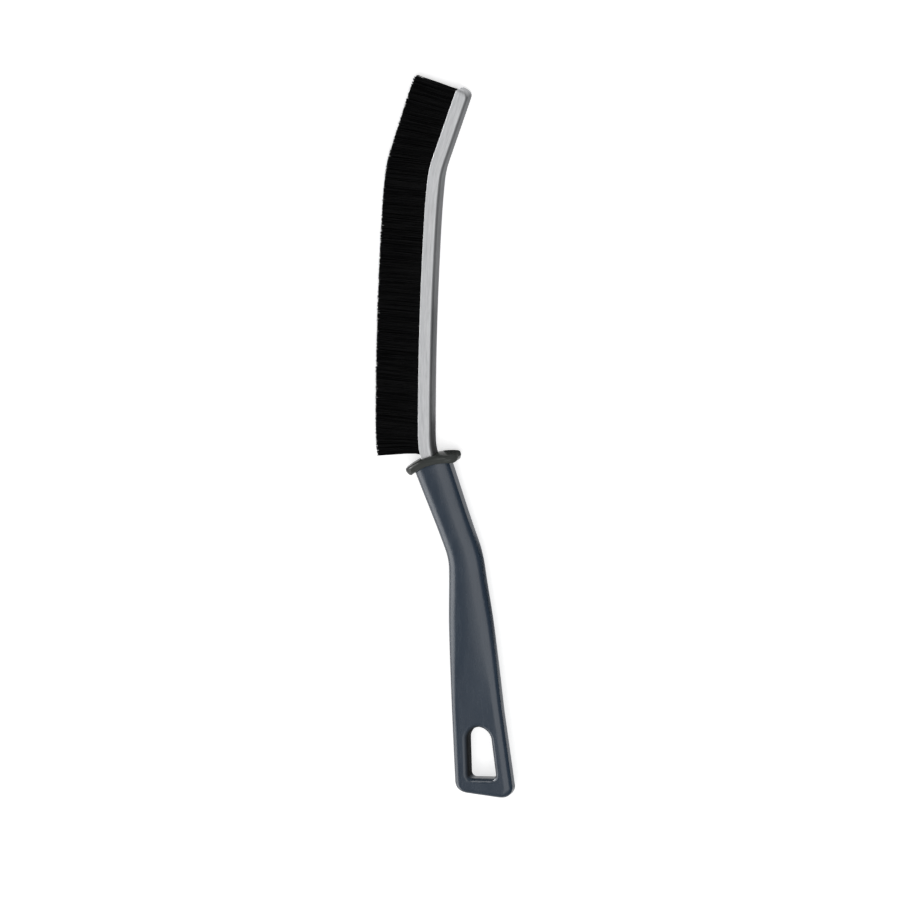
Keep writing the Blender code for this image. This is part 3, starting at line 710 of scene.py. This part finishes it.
def make_bristles(material):
    """One strip of fine filaments, each of them its own tapered rod."""
    seed = random.Random(FILAMENT_SEED)
    pitch = (BRISTLE_END - BRISTLE_START - 4 * FILAMENT_RADIUS) / FILAMENTS_ALONG
    verts = []
    faces = []
    shades = []
    for place in range(FILAMENTS_ALONG):
        for row in range(FILAMENTS_ACROSS):
            stagger = FILAMENT_STAGGER if row % 2 else -FILAMENT_STAGGER
            shift = seed.uniform(-FILAMENT_SHIFT, FILAMENT_SHIFT)
            distance = BRISTLE_START + FILAMENT_RADIUS + pitch * (place + 0.5 + stagger + shift)
            out = SLICE_WIDTH * ((row + 0.5) / FILAMENTS_ACROSS - 0.5)
            out += seed.uniform(-FILAMENT_SCATTER, FILAMENT_SCATTER)
            length = BRISTLE_REACH + FIT_GAP - FILAMENT_TRIM * seed.random() ** 2
            path = filament_path(distance, out, length, seed)
            shade = seed.random()
            turn = seed.uniform(0.0, QUARTER)
            base = len(verts)
            for step, point in enumerate(path):
                before = path[max(step - 1, 0)]
                after = path[min(step + 1, len(path) - 1)]
                forward = (after - before).normalized()
                flat = Vector((0.0, 0.0, 1.0)).cross(forward).normalized()
                rise = forward.cross(flat)
                share = step / FILAMENT_SEGMENTS
                radius = FILAMENT_RADIUS * (1.0 - (1.0 - FILAMENT_TAPER) * share)
                for side in range(FILAMENT_SIDES):
                    angle = turn + 4 * QUARTER * side / FILAMENT_SIDES
                    outwards = flat * math.cos(angle) + rise * math.sin(angle)
                    verts.append(point + outwards * radius)
                    shades.append(shade)
            for step in range(FILAMENT_SEGMENTS):
                low = base + step * FILAMENT_SIDES
                high = low + FILAMENT_SIDES
                for side in range(FILAMENT_SIDES):
                    after = (side + 1) % FILAMENT_SIDES
                    faces.append((low + side, low + after, high + after, high + side))
            faces.append(tuple(range(base + FILAMENT_SIDES - 1, base - 1, -1)))
            top = base + FILAMENT_SEGMENTS * FILAMENT_SIDES
            faces.append(tuple(range(top, top + FILAMENT_SIDES)))
    mesh = bpy.data.meshes.new("bristle_strip")
    mesh.from_pydata(verts, [], faces)
    mesh.update()
    attribute = mesh.attributes.new("shade", "FLOAT", "POINT")
    attribute.data.foreach_set("value", shades)
    mesh.shade_smooth()
    mesh.set_sharp_from_angle(angle=FILAMENT_SHARP_ANGLE)
    return add_object("bristle_strip", mesh, material)


class Nodes:
    """Short calls for building one material's nodes."""

    def __init__(self, name):
        self.material = bpy.data.materials.new(name)
        self.material.use_nodes = True
        self.tree = self.material.node_tree
        self.shader = self.tree.nodes["Principled BSDF"]

    def add(self, kind, settings=None, inputs=None):
        node = self.tree.nodes.new(kind)
        for key, value in (settings or {}).items():
            setattr(node, key, value)
        for key, value in (inputs or {}).items():
            if isinstance(value, bpy.types.NodeSocket):
                self.tree.links.new(value, node.inputs[key])
            else:
                node.inputs[key].default_value = value
        return node

    def set(self, **values):
        for key, value in values.items():
            socket = self.shader.inputs[key.replace("_", " ")]
            if isinstance(value, bpy.types.NodeSocket):
                self.tree.links.new(value, socket)
            else:
                socket.default_value = value

    def stretched(self, source, scale):
        return self.add("ShaderNodeMapping", inputs={"Vector": source, "Scale": scale}).outputs[0]

    def noise(self, vector, scale, detail=3.0, roughness=0.5):
        inputs = {"Vector": vector, "Scale": scale, "Detail": detail, "Roughness": roughness}
        return self.add("ShaderNodeTexNoise", inputs=inputs).outputs["Fac"]

    def ramp(self, value, stops):
        node = self.add("ShaderNodeValToRGB", inputs={"Fac": value})
        elements = node.color_ramp.elements
        for index, (place, colour) in enumerate(stops):
            element = elements[index] if index < 2 else elements.new(place)
            element.position = place
            element.color = (*colour, 1.0)
        return node.outputs["Color"]

    def calculate(self, operation, *values):
        inputs = dict(enumerate(values))
        return self.add("ShaderNodeMath", {"operation": operation}, inputs).outputs[0]

    def mix_values(self, factor, first, second):
        inputs = {"Factor": factor, "A": first, "B": second}
        return self.add("ShaderNodeMix", {"data_type": "FLOAT"}, inputs).outputs["Result"]

    def mix_colours(self, factor, first, second):
        node = self.add("ShaderNodeMix", {"data_type": "RGBA", "blend_type": "MIX"})
        sockets = [socket for socket in node.inputs if socket.enabled]
        for socket, value in zip(sockets, (factor, first, second)):
            if isinstance(value, bpy.types.NodeSocket):
                self.tree.links.new(value, socket)
            else:
                socket.default_value = value
        return next(socket for socket in node.outputs if socket.enabled)

    def range(self, value, low, high, to_low, to_high):
        inputs = {"Value": value, "From Min": low, "From Max": high}
        inputs.update({"To Min": to_low, "To Max": to_high})
        return self.add("ShaderNodeMapRange", inputs=inputs).outputs["Result"]

    def bump(self, height, distance, strength, normal=None):
        inputs = {"Height": height, "Distance": distance, "Strength": strength}
        if normal:
            inputs["Normal"] = normal
        return self.add("ShaderNodeBump", inputs=inputs).outputs["Normal"]


def moulded_plastic(name, dark, light, roughness, grain_size, grain_depth, shine):
    """Moulded plastic: cloudy colour, a fine etched grain, uneven gloss, and painted shade with
    full roughness on the hang hole's walls.
    """
    nodes = Nodes(name)
    place = nodes.add("ShaderNodeTexCoord").outputs["Object"]
    clouds = nodes.noise(place, CLOUD_SCALE, 4.0, 0.6)
    # The wall attribute masks the hang hole's walls, whose colour is darkened there as painted
    # shade
    wall = nodes.add("ShaderNodeAttribute", {"attribute_name": "wall"}).outputs["Fac"]
    painted_shade = (*[PAINTED_HOLE_SHADE * value for value in dark], 1.0)
    colour = nodes.mix_colours(wall, nodes.ramp(clouds, zip(NOISE_SPAN, (dark, light))), painted_shade)
    nodes.set(Base_Color=colour)
    worn = nodes.noise(nodes.stretched(place, WORN_SCALE), 1.0, 5.0, 0.65)
    gloss = nodes.range(worn, *NOISE_SPAN, roughness - GLOSS_SPREAD, roughness + GLOSS_SPREAD)
    nodes.set(Roughness=nodes.mix_values(wall, gloss, RECESS_ROUGHNESS))
    grain = nodes.noise(place, 1.0 / grain_size, 2.0, 0.5)
    waves = nodes.noise(place, WAVE_SCALE, 1.0, 0.4)
    slow = nodes.bump(waves, WAVE_DEPTH, WAVE_STRENGTH)
    fine = nodes.bump(grain, grain_depth, GRAIN_STRENGTH, slow)
    nodes.set(Normal=fine, Specular_IOR_Level=shine)
    return nodes.material


def brushed_steel():
    """Drawn strip: long streaks, soft blotches, lengthwise waves and a duller back, whose darker
    colour is painted shade.
    """
    nodes = Nodes("channel_steel_brushed")
    strip = nodes.add("ShaderNodeUVMap", {"uv_map": "strip"}).outputs["UV"]
    streaks = nodes.noise(nodes.stretched(strip, STREAK_SCALE), 1.0, 4.0, 0.6)
    blotches = nodes.noise(nodes.stretched(strip, BLOTCH_SCALE), 1.0, 4.0, 0.65)
    mixed = nodes.mix_values(STREAK_SHARE, blotches, streaks)
    place = nodes.add("ShaderNodeSeparateXYZ", inputs={"Vector": strip}).outputs
    from_middle = nodes.calculate("ABSOLUTE", place["Y"])
    # The back is coloured darker than the sides as painted shade, except at the nose
    side_start, side_end = [share * CHANNEL_DEPTH for share in BACK_SHADE_BAND]
    side = nodes.range(from_middle, side_start, side_end, 0.0, 1.0)
    nose_start, nose_end = [NOSE_START + share * NOSE_RADIUS for share in NOSE_BAND]
    nose = nodes.range(place["X"], nose_start, nose_end, 0.0, 1.0)
    unshaded = nodes.calculate("MAXIMUM", side, nose)
    dull_start, dull_end = [share * CHANNEL_DEPTH for share in DULL_BAND]
    dull = nodes.range(from_middle, dull_start, dull_end, 1.0, 0.0)
    gloss = nodes.range(blotches, *NOISE_SPAN, *SIDE_ROUGHNESS)
    nodes.set(
        Base_Color=nodes.mix_colours(
            unshaded, nodes.ramp(mixed, BACK_SHADE_TONES), nodes.ramp(mixed, SIDE_TONES)
        ),
        Roughness=nodes.mix_values(dull, gloss, BACK_ROUGHNESS),
        Metallic=1.0,
    )
    waves = nodes.noise(nodes.stretched(strip, STEEL_WAVE_SCALE), 1.0, 2.0, 0.5)
    slow = nodes.bump(waves, STEEL_WAVE_DEPTH, WAVE_STRENGTH)
    nodes.set(Normal=nodes.bump(streaks, STREAK_DEPTH, STREAK_STRENGTH, slow))
    return nodes.material


def drawn_wire():
    nodes = Nodes("core_wire_drawn")
    place = nodes.add("ShaderNodeTexCoord").outputs["Object"]
    streaks = nodes.noise(nodes.stretched(place, WIRE_SCALE), 1.0, 3.0)
    nodes.set(
        Base_Color=nodes.ramp(streaks, WIRE_TONES),
        Roughness=nodes.range(streaks, *NOISE_SPAN, *WIRE_ROUGHNESS),
        Metallic=1.0,
    )
    return nodes.material


def black_nylon():
    """Black filament, each with its own shade and gloss, in soft patches."""
    nodes = Nodes("bristle_nylon_black")
    shade = nodes.add("ShaderNodeAttribute", {"attribute_name": "shade"}).outputs["Fac"]
    place = nodes.add("ShaderNodeTexCoord").outputs["Object"]
    patches = nodes.noise(place, NYLON_PATCH_SCALE, 3.0, 0.6)
    mixed = nodes.mix_values(NYLON_PATCH_SHARE, shade, patches)
    nodes.set(
        Base_Color=nodes.ramp(mixed, NYLON_TONES),
        Roughness=nodes.range(shade, 0.0, 1.0, *NYLON_ROUGHNESS),
        Specular_IOR_Level=NYLON_SHINE,
    )
    return nodes.material


def white_floor():
    """A pale floor that adds a little light of its own to what the camera and reflections see."""
    nodes = Nodes("studio_floor")
    place = nodes.add("ShaderNodeTexCoord").outputs["Object"]
    tone = nodes.noise(place, FLOOR_SCALE, 2.0)
    nodes.set(
        Base_Color=nodes.ramp(tone, FLOOR_TONES),
        Roughness=FLOOR_ROUGHNESS,
        Specular_IOR_Level=0.0,
        Emission_Color=(1.0, 1.0, 1.0, 1.0),
        Emission_Strength=nodes.range(seen_ray(nodes), 0.0, 1.0, 0.0, FLOOR_GLOW),
    )
    return nodes.material


def seen_ray(nodes):
    """1 for the rays that show the background: the camera's, reflections and glass."""
    path = nodes.add("ShaderNodeLightPath")
    total = path.outputs["Is Camera Ray"]
    for name in ("Is Glossy Ray", "Is Transmission Ray"):
        total = nodes.calculate("MAXIMUM", total, path.outputs[name])
    return total


def make_world():
    world = bpy.data.worlds.new("studio")
    bpy.context.scene.world = world
    world.use_nodes = True
    background = world.node_tree.nodes["Background"]
    background.inputs["Color"].default_value = (1.0, 1.0, 1.0, 1.0)
    background.inputs["Strength"].default_value = WORLD_LEVEL


def area_lamp(name, place, target, width, height, power, lights_all):
    """A lamp that faces the target, with its width along X as far as that can be."""
    data = bpy.data.lights.new(name, "AREA")
    data.shape = "RECTANGLE"
    data.size = width
    data.size_y = height
    data.energy = power
    lamp = bpy.data.objects.new(name, data)
    bpy.context.scene.collection.objects.link(lamp)
    back = (place - target).normalized()
    across = (Vector((1.0, 0.0, 0.0)) - back * back.x).normalized()
    turn = Matrix((across, back.cross(across), back)).transposed().to_4x4()
    lamp.matrix_world = Matrix.Translation(place) @ turn
    lamp.visible_diffuse = lights_all


def make_lights(centre):
    for name, direction, distance, *settings in LAMPS:
        place = centre + Vector(direction).normalized() * distance
        area_lamp(name, place, centre, *settings)


def make_floor():
    bm = bmesh.new()
    bmesh.ops.create_grid(bm, x_segments=1, y_segments=1, size=FLOOR_SIZE)
    floor = add_object("studio_floor", mesh_of(bm, "studio_floor"), white_floor())


def make_cards(centre):
    """Dark cards on the back's side, seen only in reflections."""
    nodes = Nodes("dark_card")
    grain = nodes.noise(nodes.add("ShaderNodeTexCoord").outputs["Object"], CARD_SCALE)
    nodes.set(Base_Color=nodes.ramp(grain, CARD_TONES), Roughness=1.0)
    for name, size, lean, turn, offset in CARDS:
        bm = bmesh.new()
        bmesh.ops.create_grid(bm, x_segments=1, y_segments=1, size=0.5)
        bmesh.ops.scale(bm, vec=(*size, 1.0), verts=bm.verts)
        card = add_object(name, mesh_of(bm, name), nodes.material)
        card.rotation_euler = (lean, 0.0, turn)
        card.location = centre + Vector(offset)
        card.visible_camera = False
        card.visible_diffuse = False
        card.visible_shadow = False


def make_camera(rest):
    """A distant camera where the photograph's one was."""
    level = math.cos(VIEW_RISE)
    back = Vector((math.sin(VIEW_RISE), -math.sin(VIEW_YAW) * level, math.cos(VIEW_YAW) * level))
    right = Vector((0.0, -math.cos(VIEW_YAW), -math.sin(VIEW_YAW)))
    up = back.cross(right)
    turn = rest.to_3x3()
    axes = [turn @ axis for axis in (right, up, back)]
    target = rest.translation + axes[0] * VIEW_CENTRE[0] + axes[1] * VIEW_CENTRE[1]
    data = bpy.data.cameras.new("camera")
    data.sensor_width = SENSOR_WIDTH
    data.lens = SENSOR_WIDTH * VIEW_DISTANCE / VIEW_WIDTH
    data.clip_end = CLIP_END
    camera = bpy.data.objects.new("camera", data)
    bpy.context.scene.collection.objects.link(camera)
    orientation = Matrix(axes).transposed().to_4x4()
    camera.matrix_world = Matrix.Translation(target + axes[2] * VIEW_DISTANCE) @ orientation
    bpy.context.scene.camera = camera


def rest_matrix():
    """How the brush lies: its nose turned down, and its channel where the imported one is."""
    nose = frame_along(HEAD_RUNS, NOSE_START).translation
    tilt = Matrix.Rotation(math.atan2((GUARD_DEPTH - CHANNEL_WIDTH) / 2, nose.x), 4, "Y")
    corners = [tilt @ point for ring in channel_rings()[1] for point in ring]
    low = Vector([min(corner[axis] for corner in corners) for axis in range(3)])
    return Matrix.Translation(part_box("bristle_channel")[0] - low) @ tilt


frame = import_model()

handle = make_handle(moulded_plastic("handle_plastic_satin", *HANDLE_FINISH))
guard = make_guard(moulded_plastic("guard_plastic_glossy", *GUARD_FINISH))
channel = make_channel(brushed_steel())
bristles = make_bristles(black_nylon())
rest = rest_matrix()
for piece in (handle, guard, channel, bristles):
    piece.data.transform(rest)
    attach(piece, "root")

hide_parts("handle")
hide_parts("guard")
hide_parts("bristle_channel")
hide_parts(*[f"bristles_{number + 1:02d}" for number in range(PACKS)])
frame["nodes"]["core_wire"].material_slots[0].material = drawn_wire()

middle = rest.translation.copy()
make_floor()
make_cards(middle)
make_world()
make_lights(middle)
make_camera(rest)
bpy.context.scene.view_settings.view_transform = "Standard"
